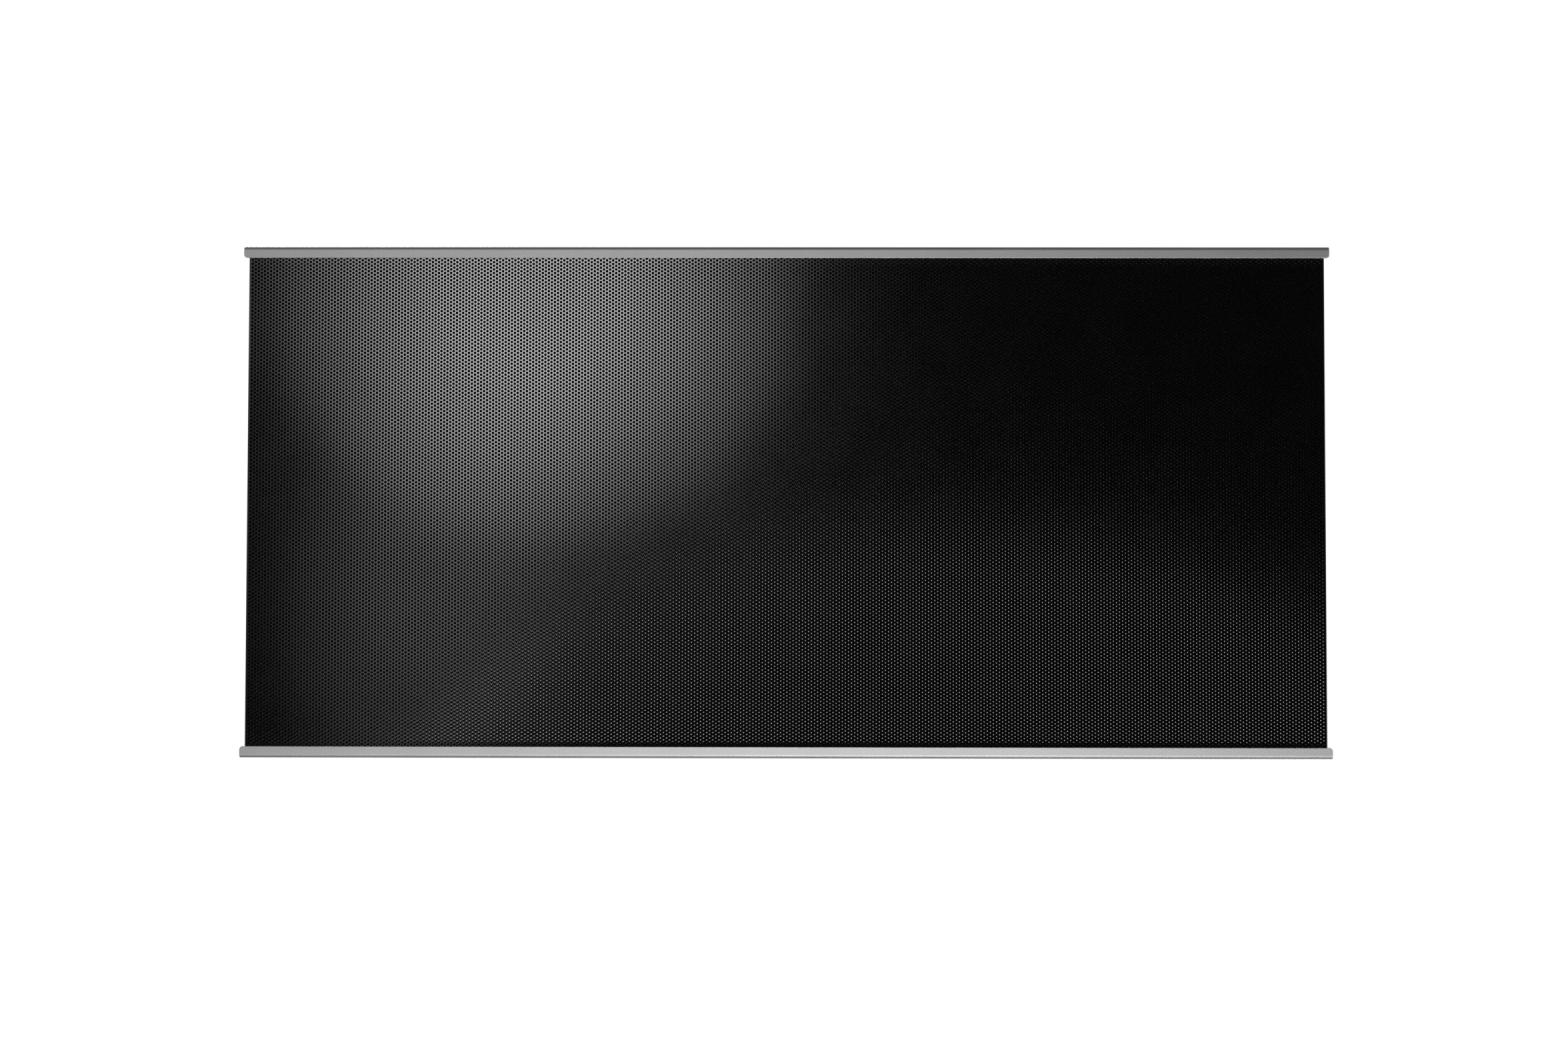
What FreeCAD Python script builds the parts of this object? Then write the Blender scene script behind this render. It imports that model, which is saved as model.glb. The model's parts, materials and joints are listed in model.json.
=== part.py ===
import FreeCAD, Part
import math
import os
import types
import Sketcher

# Ceiling heater: a flat far-infrared panel whose dimpled black emitter plate
# faces down between two long aluminium rails. Two steel brackets hold it
# under the ceiling, and it tilts on a bolt in each bracket.
# Millimetres. The origin is the middle of the ceiling plane, X runs along the
# rails, Z points up, and everything hangs below zero.

Vector = FreeCAD.Vector

# Every driving size: name, number, what it measures
SIZES = (
    # Panel and rails
    ("rail_length", 1190, "rails, end to end"),
    ("panel_width", 560, "across both rails"),
    ("panel_depth", 48, "rails, face to back"),
    ("rail_wall", 1.8, "outer wall of a rail"),
    ("lip_width", 12.5, "front lip, from the outer face"),
    ("lip_thick", 1.8, "front lip"),
    ("lip_corner", 4, "rounding of a lip's end corners"),
    ("lip_edge", 0.6, "rounding along a lip's inner edge"),
    ("rail_edge", 4, "rounding of a rail's front outer edge"),
    ("rail_back_edge", 1.2, "rounding of a rail's back outer edge"),
    ("shelf_reach", 9, "shelf behind the plate, from the wall"),
    ("shelf_thick", 1.5, "shelf behind the plate"),
    ("flange_reach", 24, "back flange, from the outer face"),
    ("flange_thick", 1.8, "back flange"),
    # Emitter plate
    ("plate_thick", 1.2, "emitter plate"),
    ("plate_inset", 5.5, "from a rail end to the plate end"),
    ("plate_bend", 1, "rounding of the plate's folded ends"),
    ("slot_play", 0.3, "room above the plate in the rail slot"),
    ("edge_play", 0.5, "room between sheet edges and rail walls"),
    ("return_depth", 41, "folded ends of the plate"),
    # Back cover
    ("cover_thick", 1, "back cover"),
    ("cover_skirt", 18, "folded ends of the back cover"),
    ("skirt_play", 0.3, "room between skirt and plate return"),
    # Heating layers
    ("mica_thick", 0.6, "each mica sheet"),
    ("mica_margin", 6, "room round the mica sheets"),
    ("foil_margin", 12, "mica showing round the foil"),
    ("foil_gap", 8, "gap between runs of foil"),
    ("foil_runs", 8, "lengthwise runs of foil, an even count"),
    ("foil_tab", 52, "width of the foil's connecting tabs"),
    ("terminal_radius", 2.5, "foil terminal posts"),
    ("terminal_height", 10, "foil terminal posts above the mica"),
    ("clamp_width", 25, "clamp bars"),
    ("clamp_thick", 2, "clamp bars"),
    ("clamp_end_gap", 160, "from a rail end to the middle of the first clamp bar"),
    ("reflector_thick", 0.3, "reflector sheet"),
    ("board_headroom", 3, "room over the insulation"),
    ("board_play", 2, "room beside the insulation"),
    ("board_end_gap", 12, "room past the insulation's right end"),
    ("bay_length", 75, "wiring bay at the left end"),
    # Thermal cut-out and leads
    ("cutout_radius", 8, "thermal cut-out"),
    ("cutout_height", 10, "thermal cut-out"),
    ("blade_length", 8, "cut-out blades, upwards"),
    ("blade_width", 4, "cut-out blades"),
    ("blade_thick", 0.8, "cut-out blades"),
    ("blade_pitch", 10, "blade to blade"),
    ("lead_radius", 1.5, "insulated leads"),
    ("lead_bend", 8, "bends of the leads"),
    ("lead_run", 4, "straight ends of the earth lead"),
    ("link_reach", 28, "from the cut-out to its foil terminal"),
    ("link_rise", 5, "the link's straight rise off its blade"),
    ("grommet_bore", 7.5, "lead grommet, inside radius"),
    ("grommet_wall", 2, "lead grommet, wall in the hole"),
    ("grommet_lip", 2.5, "lead grommet, lip past the hole"),
    # Terminal box
    ("box_end_gap", 95, "from a rail end to the middle of the terminal box"),
    ("box_length", 110, "terminal box, along the rails"),
    ("box_width", 80, "terminal box, across"),
    ("box_height", 36, "terminal box without gasket and lid"),
    ("box_wall", 2, "terminal box walls and floor"),
    ("box_corner", 5, "rounding of the box's upright edges"),
    ("post_width", 10, "corner posts for the lid screws"),
    ("gasket_thick", 1.5, "lid gasket"),
    ("lid_thick", 2.5, "box lid"),
    ("lid_grip", 12, "lid screws below the gasket"),
    ("box_screw_inset", 17, "box screws, from the box's ends"),
    ("box_screw_gap", 2.7, "from a box screw's head to the lead grommet"),
    ("lead_inset", 17, "lead holes, from the box's end"),
    ("block_length", 33, "terminal block, along its row of poles"),
    ("block_width", 24, "terminal block, across"),
    ("block_height", 18, "terminal block"),
    ("block_offset", 15, "terminal block, from the middle of the box"),
    ("pole_pitch", 9, "pole to pole"),
    ("pole_radius", 2.6, "terminal screws"),
    ("pole_head", 1.6, "terminal screw heads"),
    ("earth_radius", 2.5, "earth stud"),
    ("earth_height", 14, "earth stud"),
    ("earth_across", 8, "earth nut across flats"),
    ("earth_nut_height", 4, "earth nut"),
    # Cable gland
    ("cable_radius", 5, "hole through the gland's seal"),
    ("gland_thread", 10, "radius of the gland's thread"),
    ("gland_wall", 2.8, "wall of the gland body"),
    ("gland_across", 24, "gland hexagons across flats"),
    ("gland_collar", 5, "gland hexagon against the box"),
    ("gland_stub", 12, "threaded stub outside the collar"),
    ("gland_nut_wall", 2.5, "end wall of the gland nut"),
    ("locknut_across", 27, "gland locknut across flats"),
    ("locknut_thick", 4.5, "gland locknut"),
    ("mouth_play", 0.5, "room round a cable in the gland nut"),
    ("thread_play", 0.1, "room between threads"),
    # Pan-head screws
    ("screw_radius", 2, "screw shanks"),
    ("screw_play", 0.2, "room round the shanks"),
    ("screw_head", 3.8, "radius of the screw heads"),
    ("screw_head_height", 2.4, "screw heads"),
    ("socket_across", 2.5, "hexagon sockets across flats"),
    ("socket_depth", 1.4, "hexagon sockets"),
    ("screw_tip", 1.5, "screw tips past the last sheet"),
    ("screw_inset", 14, "screw line, from a rail's outer face"),
    ("cover_screw_gap", 55, "from a rail end to the first cover screw"),
    ("cover_screws_each", 5, "cover screws on a rail"),
    ("end_screw_pitch", 200, "end screw to end screw"),
    # Cross bars
    ("ear_end_gap", 195, "from a rail end to the outer face of a bar ear"),
    ("bar_width", 44, "cross bars"),
    ("bar_thick", 3, "cross bars and their ears"),
    ("bar_end_gap", 6, "from a rail's outer face to a bar end"),
    ("bar_screw_pitch", 24, "bar screw to bar screw"),
    ("bolt_radius", 2.5, "bar screws"),
    ("bolt_play", 0.2, "room round the bar screws"),
    ("bolt_across", 8, "bar screw heads and nuts across flats"),
    ("bolt_head", 3.5, "bar screw heads"),
    ("bolt_nut", 4, "bar nuts"),
    ("ear_half", 20, "half the width of an ear at the pivot"),
    ("ear_top", 14, "rounding at the top of an ear"),
    # Pivot and lock
    ("pivot_drop", 140, "pivot below the ceiling"),
    ("pivot_rise", 26, "pivot above the back of the rails"),
    ("pivot_radius", 4, "pivot bolts"),
    ("pivot_fit", 0.1, "running clearance round the pivot bolts"),
    ("pivot_across", 13, "pivot bolt heads and nuts across flats"),
    ("pivot_head", 5.3, "pivot bolt heads"),
    ("pivot_nut", 6.5, "pivot nuts"),
    ("pivot_tip", 2, "pivot bolts past their nuts"),
    ("pivot_play", 0.2, "side play of an ear on its bolt"),
    ("washer_radius", 8, "pivot washers"),
    ("washer_thick", 1.6, "pivot washers"),
    ("friction_radius", 12, "friction washers"),
    ("friction_thick", 1, "friction washers"),
    ("slot_radius", 26, "lock stud from the pivot"),
    ("slot_angle", 31.5, "half the arc that the lock stud's slot covers, degrees"),
    ("stud_radius", 3, "lock studs"),
    ("stud_play", 0.4, "room round a lock stud in its slot"),
    ("stud_tip", 1, "lock studs past their nuts"),
    ("lock_across", 10, "lock nuts across flats"),
    ("lock_nut", 5, "lock nuts"),
    ("knob_gap", 0.3, "room between a knob and its bracket"),
    ("collar_radius", 9, "knob collars"),
    ("collar_height", 3, "knob collars"),
    ("grip_radius", 16, "knob grips"),
    ("grip_height", 13, "knob grips"),
    ("grip_edge", 1.5, "rounding of the grips"),
    ("scallop_radius", 6, "finger hollows round a grip"),
    ("scallop_bite", 3, "depth of the finger hollows"),
    ("scallops", 6, "finger hollows on a grip"),
    ("stud_seat", 10, "lock studs inside their grips"),
    # Ceiling brackets
    ("arm_thick", 3, "bracket arms and top plates"),
    ("arm_half", 22, "half the width of an arm"),
    ("gusset_drop", 60, "where an arm starts to widen, below the ceiling"),
    ("foot_half", 60, "half the width of a top plate"),
    ("foot_reach", 62, "top plate, from the arm's inner face"),
    ("foot_corner", 8, "rounding of a top plate's corners"),
    ("foot_bend", 2.5, "rounding inside the bracket's fold"),
    ("slot_reach", 36, "ceiling slots, from the arm's inner face"),
    ("slot_pitch", 80, "ceiling slot to ceiling slot on one bracket"),
    ("slot_half_width", 3.5, "ceiling slots, end radius"),
    ("slot_length", 18, "ceiling slots, overall"),
)
clamp_bar_count = 4
end_screw_rows = (-1, 0, 1)
hexagon_corner_share = 1 / math.sqrt(3)

doc = FreeCAD.newDocument("ceiling_heater")
sheet = doc.addObject("Spreadsheet::Sheet", "sizes")
for row, (alias, number, meaning) in enumerate(SIZES, start=1):
    sheet.set(f"A{row}", meaning)
    sheet.set(f"B{row}", str(number))
    sheet.setAlias(f"B{row}", alias)
doc.recompute()


class Size:
    """A number that remembers the spreadsheet formula it comes from."""

    def __init__(self, number, formula):
        self.number = number
        self.formula = formula

    def joined(self, sign, other, number):
        text = other.formula if isinstance(other, Size) else repr(other)
        return Size(number, f"({self.formula} {sign} {text})")

    def __float__(self):
        return float(self.number)

    def __add__(self, other):
        return self.joined("+", other, self.number + float(other))

    def __sub__(self, other):
        return self.joined("-", other, self.number - float(other))

    def __mul__(self, other):
        return self.joined("*", other, self.number * float(other))

    def __truediv__(self, other):
        return self.joined("/", other, self.number / float(other))

    def __neg__(self):
        return Size(-self.number, f"(-{self.formula})")


size = types.SimpleNamespace(
    **{alias: Size(sheet.get(alias), f"sizes.{alias}") for alias, number, meaning in SIZES}
)
zero = Size(0, "0")
pieces = []


def keep(piece):
    """Count an object among the finished sub-parts."""
    pieces.append(piece)
    return piece


def bind(thing, prop, length):
    thing.setExpression(prop, length.formula)


def place(thing, x=zero, y=zero, z=zero, axis=None, angle=0):
    """Turn a piece, then tie its place to the sheet."""
    if axis is not None:
        thing.Placement = FreeCAD.Placement(Vector(), FreeCAD.Rotation(axis, angle))
    for name, length in (("x", x), ("y", y), ("z", z)):
        bind(thing, f"Placement.Base.{name}", length)


# Sketches and features

def new_body(label):
    body = doc.addObject("PartDesign::Body", label)
    body.Label = label
    return keep(body)


def sketch_on(body, role, lift=None):
    """An empty sketch on one of the body's own planes, lifted along its normal."""
    sketch = body.newObject("Sketcher::SketchObject", "sketch")
    plane = [feature for feature in body.Origin.OriginFeatures if feature.Role == role][0]
    sketch.AttachmentSupport = [(plane, "")]
    sketch.MapMode = "FlatFace"
    if lift is not None:
        bind(sketch, "AttachmentOffset.Base.z", lift)
    return sketch


def pin(sketch, geometry, point, spot):
    """Hold one point of a sketch at a spot given in sizes."""
    for kind, axis, length in zip(("DistanceX", "DistanceY"), (-2, -1), spot):
        if length is zero:
            sketch.addConstraint(Sketcher.Constraint("PointOnObject", geometry, point, axis))
            continue
        number = sketch.addConstraint(
            Sketcher.Constraint(kind, -1, 1, geometry, point, float(length))
        )
        bind(sketch, f"Constraints[{number}]", length)


def hold_radius(sketch, geometry, radius):
    number = sketch.addConstraint(Sketcher.Constraint("Radius", geometry, float(radius)))
    bind(sketch, f"Constraints[{number}]", radius)


def outline(sketch, corners):
    """A closed outline of straight lines."""
    first = sketch.GeometryCount
    spots = [Vector(float(x), float(y)) for x, y in corners]
    for start, end in zip(spots, spots[1:] + spots[:1]):
        sketch.addGeometry(Part.LineSegment(start, end))
    for index, corner in enumerate(corners):
        following = first + (index + 1) % len(corners)
        sketch.addConstraint(Sketcher.Constraint("Coincident", first + index, 2, following, 1))
        pin(sketch, first + index, 1, corner)


def rectangle(sketch, left, bottom, right, top):
    outline(sketch, [(left, bottom), (right, bottom), (right, top), (left, top)])


def circles(sketch, centres, radius):
    for centre in centres:
        middle = Vector(float(centre[0]), float(centre[1]))
        geometry = sketch.addGeometry(Part.Circle(middle, Vector(0, 0, 1), float(radius)))
        pin(sketch, geometry, 3, centre)
        hold_radius(sketch, geometry, radius)


def long_hole(sketch, left, right, radius):
    """A slot with round ends between two centres on one level."""
    ends = [Vector(float(spot[0]), float(spot[1])) for spot in (left, right)]
    rise = Vector(0, float(radius))
    quarter = math.pi / 2
    turns = ((quarter, 3 * quarter), (-quarter, quarter))
    arcs = [
        sketch.addGeometry(Part.ArcOfCircle(Part.Circle(end, Vector(0, 0, 1), float(radius)), *turn))
        for end, turn in zip(ends, turns)
    ]
    lower = sketch.addGeometry(Part.LineSegment(ends[0] - rise, ends[1] - rise))
    upper = sketch.addGeometry(Part.LineSegment(ends[1] + rise, ends[0] + rise))
    for arc, arc_end, line, line_end in (
        (arcs[0], 2, lower, 1), (lower, 2, arcs[1], 1), (arcs[1], 2, upper, 1), (upper, 2, arcs[0], 1)
    ):
        sketch.addConstraint(Sketcher.Constraint("Tangent", arc, arc_end, line, line_end))
    for arc, centre in zip(arcs, (left, right)):
        pin(sketch, arc, 3, centre)
    hold_radius(sketch, arcs[0], radius)
    sketch.addConstraint(Sketcher.Constraint("Equal", arcs[0], arcs[1]))


def pad(body, sketch, length, symmetric=False, reverse=False):
    feature = body.newObject("PartDesign::Pad", "pad")
    feature.Profile = sketch
    feature.SideType = "Symmetric" if symmetric else "One side"
    feature.Reversed = reverse
    bind(feature, "Length", length)
    doc.recompute()
    return feature


def pocket(body, sketch, depth, symmetric=False, reverse=False):
    volume = body.Shape.Volume
    feature = body.newObject("PartDesign::Pocket", "pocket")
    feature.Profile = sketch
    feature.SideType = "Symmetric" if symmetric else "One side"
    feature.Reversed = reverse
    bind(feature, "Length", depth)
    doc.recompute()
    if body.Shape.Volume >= volume:
        raise ValueError(f"a pocket in {body.Label} cuts nothing")
    return feature


def round_edges(body, radius, chosen):
    """Round the edges of the body's last feature that the test picks."""
    base = body.Tip
    names = [f"Edge{index}" for index, edge in enumerate(base.Shape.Edges, 1) if chosen(edge)]
    feature = body.newObject("PartDesign::Fillet", "rounding")
    feature.Base = (base, names)
    bind(feature, "Radius", radius)
    doc.recompute()


def near(number, length):
    return abs(number - float(length)) < Part.Precision.confusion() * 100


def runs_along(edge, axis):
    """Whether a straight edge lies along x, y or z."""
    if edge.Curve.TypeId != "Part::GeomLine":
        return False
    return abs(abs(getattr(edge.Curve.Direction, axis)) - 1) < Part.Precision.confusion()


# Primitives

def block(label, length, width, height, x=zero, y=zero, z=zero):
    """A box centred on x and y that stands on z."""
    solid = doc.addObject("Part::Box", label)
    for prop, amount in (("Length", length), ("Width", width), ("Height", height)):
        bind(solid, prop, amount)
    place(solid, x - length / 2, y - width / 2, z)
    return solid


def rod(label, radius, height, x=zero, y=zero, z=zero, axis=None, angle=0):
    solid = doc.addObject("Part::Cylinder", label)
    bind(solid, "Radius", radius)
    bind(solid, "Height", height)
    place(solid, x, y, z, axis, angle)
    return solid


def hexagon(label, across, height, x=zero, y=zero, z=zero, axis=None, angle=0):
    solid = doc.addObject("Part::Prism", label)
    solid.Polygon = 6
    bind(solid, "Circumradius", across * hexagon_corner_share)
    bind(solid, "Height", height)
    place(solid, x, y, z, axis, angle)
    return solid


def fuse(label, solids):
    joined = doc.addObject("Part::MultiFuse", label)
    joined.Shapes = solids
    return joined


def cut(label, base, *tools):
    result = doc.addObject("Part::Cut", label)
    result.Base = base
    result.Tool = tools[0] if len(tools) == 1 else fuse(f"{label}_cuts", list(tools))
    return result


def group(label, shapes):
    """Separate alike solids under one name."""
    piece = doc.addObject("Part::Feature", label)
    piece.Shape = Part.makeCompound(shapes)
    return keep(piece)


def set_down(shape, x=zero, y=zero, z=zero, axis=Vector(0, 0, 1), angle=0):
    """A copy of a shape, turned and moved to a place."""
    copy = shape.copy()
    spot = Vector(float(x), float(y), float(z))
    copy.Placement = FreeCAD.Placement(spot, FreeCAD.Rotation(axis, angle))
    return copy


def hexagon_shape(across, height, start=0):
    """A hexagonal prism that rises from a level."""
    corner = float(across) * hexagon_corner_share
    turns = [math.radians(60 * step) for step in range(7)]
    points = [Vector(corner * math.cos(turn), corner * math.sin(turn), start) for turn in turns]
    return Part.Face(Part.makePolygon(points)).extrude(Vector(0, 0, float(height)))


def ring_shape(outer, inner, height):
    solid = Part.makeCylinder(float(outer), float(height))
    return solid.cut(Part.makeCylinder(float(inner), float(height)))


def nut_shape(across, hole, height):
    return hexagon_shape(across, height).cut(Part.makeCylinder(float(hole), float(height)))


def screw_shape(length):
    """A pan-head screw with its seat at zero and its tip below."""
    shank = Part.makeCylinder(
        float(size.screw_radius), float(length), Vector(0, 0, 0), Vector(0, 0, -1)
    )
    head = Part.makeCylinder(float(size.screw_head), float(size.screw_head_height))
    rim = [edge for edge in head.Edges if near(edge.CenterOfMass.z, size.screw_head_height)]
    head = head.makeFillet(float(size.screw_head_height) / 2, rim[:1])
    socket = hexagon_shape(
        size.socket_across, size.socket_depth, float(size.screw_head_height - size.socket_depth)
    )
    return shank.fuse(head).cut(socket).removeSplitter()


def bolt_shape(radius, length, across, head):
    """A hexagon bolt with its seat at zero and its tip below."""
    shank = Part.makeCylinder(float(radius), float(length), Vector(0, 0, 0), Vector(0, 0, -1))
    return shank.fuse(hexagon_shape(across, head)).removeSplitter()


# Shared levels, places and fits

pivot_z = -size.pivot_drop
back_z = pivot_z - size.pivot_rise
face_z = back_z - size.panel_depth
plate_z = face_z + size.lip_thick
plate_top_z = plate_z + size.plate_thick
slot_height = size.plate_thick + size.slot_play
shelf_top = size.lip_thick + slot_height + size.shelf_thick
shelf_top_z = face_z + shelf_top
cover_top_z = back_z - size.flange_thick
cover_z = cover_top_z - size.cover_thick
half_width = size.panel_width / 2
plate_length = size.rail_length - size.plate_inset * 2
plate_width = size.panel_width - (size.rail_wall + size.edge_play) * 2
plate_end = plate_length / 2
skirt_end = plate_end - size.plate_thick - size.skirt_play
inside_end = skirt_end - size.cover_thick
screw_y = half_width - size.screw_inset
screw_hole = size.screw_radius + size.screw_play
bolt_hole = size.bolt_radius + size.bolt_play
bracket_span = size.rail_length - size.ear_end_gap * 2
bar_x = bracket_span / 2 - size.bar_width / 2
bar_holes_x = [
    (bar_x + size.bar_screw_pitch * half) * side for side in (-1, 1) for half in (-0.5, 0.5)
]
cover_screw_gaps = int(float(size.cover_screws_each)) - 1
cover_screw_span = size.rail_length - size.cover_screw_gap * 2
cover_holes_x = [
    cover_screw_span * (step / cover_screw_gaps - 0.5) for step in range(cover_screw_gaps + 1)
]
clamp_span = size.rail_length - size.clamp_end_gap * 2
clamp_x = [clamp_span * (step / (clamp_bar_count - 1) - 0.5) for step in range(clamp_bar_count)]
clamp_screw_y = half_width - size.rail_wall - size.shelf_reach / 2
end_screw_z = cover_top_z - size.cover_skirt / 2
end_screw_y = [size.end_screw_pitch * row for row in end_screw_rows]
box_x = size.box_end_gap - size.rail_length / 2
lead_x = box_x - size.box_length / 2 + size.lead_inset
grommet_y = size.pole_pitch / 2
grommet_hole = size.grommet_bore + size.grommet_wall
box_screw_x = size.box_length / 2 - size.box_screw_inset
box_screw_y = grommet_y + grommet_hole + size.grommet_lip + size.screw_head + size.box_screw_gap
box_screw_spots = [
    (box_x + box_screw_x * along, box_screw_y * across) for along in (-1, 1) for across in (-1, 1)
]


# Rails, cut from one extrusion and handed by a half turn

def rail(label, side):
    body = new_body(label)
    profile = sketch_on(body, "YZ_Plane")
    slot_top = size.lip_thick + slot_height
    shelf_end = size.rail_wall + size.shelf_reach
    flange_z = size.panel_depth - size.flange_thick
    outline(profile, [
        (zero, zero),
        (size.lip_width, zero),
        (size.lip_width, size.lip_thick),
        (size.rail_wall, size.lip_thick),
        (size.rail_wall, slot_top),
        (shelf_end, slot_top),
        (shelf_end, shelf_top),
        (size.rail_wall, shelf_top),
        (size.rail_wall, flange_z),
        (size.flange_reach, flange_z),
        (size.flange_reach, size.panel_depth),
        (zero, size.panel_depth),
    ])
    pad(body, profile, size.rail_length, symmetric=True)
    round_edges(body, size.rail_edge, lambda edge: (
        runs_along(edge, "x") and near(edge.CenterOfMass.y, zero) and near(edge.CenterOfMass.z, zero)
    ))
    round_edges(body, size.rail_back_edge, lambda edge: (
        runs_along(edge, "x")
        and near(edge.CenterOfMass.y, zero)
        and near(edge.CenterOfMass.z, size.panel_depth)
    ))
    round_edges(body, size.lip_corner, lambda edge: (
        runs_along(edge, "z")
        and near(edge.CenterOfMass.y, size.lip_width)
        and near(edge.CenterOfMass.z, size.lip_thick / 2)
    ))
    corner_start = float(size.lip_width - size.lip_corner)
    round_edges(body, size.lip_edge, lambda edge: (
        near(edge.BoundBox.ZMax, zero)
        and (edge.BoundBox.YMin > corner_start or near(edge.BoundBox.YMin, corner_start))
    ))
    holes = sketch_on(body, "XY_Plane", size.panel_depth)
    circles(holes, [(x, size.screw_inset) for x in cover_holes_x], screw_hole)
    circles(holes, [(x, size.screw_inset) for x in bar_holes_x], bolt_hole)
    pocket(body, holes, size.flange_thick)
    holes = sketch_on(body, "XY_Plane", shelf_top)
    circles(holes, [(x, half_width - clamp_screw_y) for x in clamp_x], screw_hole)
    pocket(body, holes, size.shelf_thick)
    place(body, y=half_width * side, z=face_z, axis=Vector(0, 0, 1), angle=90 * (1 + side))


rail("front_rail", -1)
rail("rear_rail", 1)


# Emitter plate with folded ends, notched where they pass the rail shelves

def emitter_plate():
    body = new_body("emitter_plate")
    flat = sketch_on(body, "XY_Plane")
    rectangle(flat, -plate_end, -plate_width / 2, plate_end, plate_width / 2)
    pad(body, flat, size.plate_thick)
    neck = half_width - size.rail_wall - size.shelf_reach - size.edge_play
    notch = slot_height + size.shelf_thick + size.edge_play
    for side in (-1, 1):
        fold = sketch_on(body, "YZ_Plane", plate_end * side)
        outline(fold, [
            (-neck, zero), (neck, zero), (neck, notch), (plate_width / 2, notch),
            (plate_width / 2, size.return_depth), (-plate_width / 2, size.return_depth),
            (-plate_width / 2, notch), (-neck, notch),
        ])
        pad(body, fold, size.plate_thick, reverse=side > 0)
    round_edges(body, size.plate_bend, lambda edge: (
        runs_along(edge, "y") and near(edge.CenterOfMass.z, zero)
    ))
    for side in (-1, 1):
        holes = sketch_on(body, "YZ_Plane", plate_end * side)
        circles(holes, [(y, end_screw_z - plate_z) for y in end_screw_y], screw_hole)
        pocket(body, holes, size.plate_thick, reverse=side < 0)
    place(body, z=plate_z)


emitter_plate()


# Back cover, a sheet with its ends folded down inside the plate's folds

def back_cover():
    body = new_body("back_cover")
    profile = sketch_on(body, "XZ_Plane")
    outline(profile, [
        (-skirt_end, zero), (skirt_end, zero), (skirt_end, -size.cover_skirt),
        (inside_end, -size.cover_skirt), (inside_end, -size.cover_thick),
        (-inside_end, -size.cover_thick), (-inside_end, -size.cover_skirt),
        (-skirt_end, -size.cover_skirt),
    ])
    pad(body, profile, plate_width, symmetric=True)
    holes = sketch_on(body, "XY_Plane")
    for side in (-1, 1):
        circles(holes, [(x, screw_y * side) for x in cover_holes_x], screw_hole)
        circles(holes, [(x, screw_y * side) for x in bar_holes_x], bolt_hole)
    circles(holes, box_screw_spots, screw_hole)
    circles(holes, [(lead_x, grommet_y)], grommet_hole)
    pocket(body, holes, size.cover_thick)
    for side in (-1, 1):
        holes = sketch_on(body, "YZ_Plane", skirt_end * side)
        circles(holes, [(y, -size.cover_skirt / 2) for y in end_screw_y], screw_hole)
        pocket(body, holes, size.cover_thick, reverse=side < 0)
    place(body, z=cover_top_z)


back_cover()
cover_screw = screw_shape(size.flange_thick + size.cover_thick + size.screw_tip)
group("cover_screws", [
    set_down(cover_screw, x, screw_y * side, back_z) for side in (-1, 1) for x in cover_holes_x
])
end_screw = screw_shape(size.plate_thick + size.skirt_play + size.cover_thick + size.screw_tip)
group("end_screws", [
    set_down(end_screw, plate_end * side, y, end_screw_z, Vector(0, 1, 0), 90 * side)
    for side in (-1, 1) for y in end_screw_y
])


# Heating layers: foil between two mica sheets, pressed on the plate by clamp bars

mica_length = (inside_end - size.mica_margin) * 2
mica_width = size.panel_width - (size.rail_wall + size.shelf_reach + size.mica_margin) * 2
foil_thick = size.slot_play + size.shelf_thick - size.mica_thick * 2
foil_z = plate_top_z + size.mica_thick
foil_top_z = foil_z + foil_thick
link_y = -size.blade_pitch
terminal_spots = [(lead_x - size.link_reach, link_y), (lead_x, size.pole_pitch)]
terminal_hole = size.terminal_radius + size.screw_play


def heating_foil():
    """Runs joined end to end in a zigzag, with a tab from each outer run to the wiring bay."""
    runs = int(float(size.foil_runs))
    gap = float(size.foil_gap)
    right = float(mica_length / 2 - size.foil_margin)
    tab_right = -right + float(size.foil_tab)
    left = tab_right + gap
    top = float(mica_width / 2 - size.foil_margin)
    run_width = (top * 2 - gap * (runs - 1)) / runs
    thick = float(foil_thick)

    def strip(x1, y1, x2, y2):
        return Part.makeBox(x2 - x1, y2 - y1, thick, Vector(x1, y1, float(foil_z)))

    strips = []
    for run in range(runs):
        low = -top + run * (run_width + gap)
        strips.append(strip(left, low, right, low + run_width))
        if run + 1 < runs:
            start = right - run_width if run % 2 == 0 else left
            strips.append(strip(start, low, start + run_width, low + run_width * 2 + gap))
    for side in (-1, 1):
        outer = sorted((top * side, (top - run_width) * side))
        strips.append(strip(-right, outer[0], left + run_width, outer[1]))
        inner = sorted((gap / 2 * side, top * side))
        strips.append(strip(-right, inner[0], tab_right, inner[1]))
    piece = doc.addObject("Part::Feature", "heating_foil")
    piece.Shape = strips[0].multiFuse(strips[1:]).removeSplitter()
    keep(piece)


keep(block("front_mica", mica_length, mica_width, size.mica_thick, z=plate_top_z))
heating_foil()
keep(cut(
    "back_mica",
    block("back_mica_sheet", mica_length, mica_width, size.mica_thick, z=foil_top_z),
    *[
        rod(f"back_mica_hole_{index}", terminal_hole, size.mica_thick, x, y, foil_top_z)
        for index, (x, y) in enumerate(terminal_spots, 1)
    ],
))
terminal_post = Part.makeCylinder(
    float(size.terminal_radius), float(size.mica_thick + size.terminal_height)
)
group("foil_terminals", [set_down(terminal_post, x, y, foil_top_z) for x, y in terminal_spots])
for index, x in enumerate(clamp_x, 1):
    bar = block(
        f"clamp_bar_{index}_flat", size.clamp_width, plate_width, size.clamp_thick, x, z=shelf_top_z
    )
    holes = [
        rod(f"clamp_bar_{index}_hole", screw_hole, size.clamp_thick, x, clamp_screw_y * side, shelf_top_z)
        for side in (-1, 1)
    ]
    keep(cut(f"clamp_bar_{index}", bar, *holes))
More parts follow.
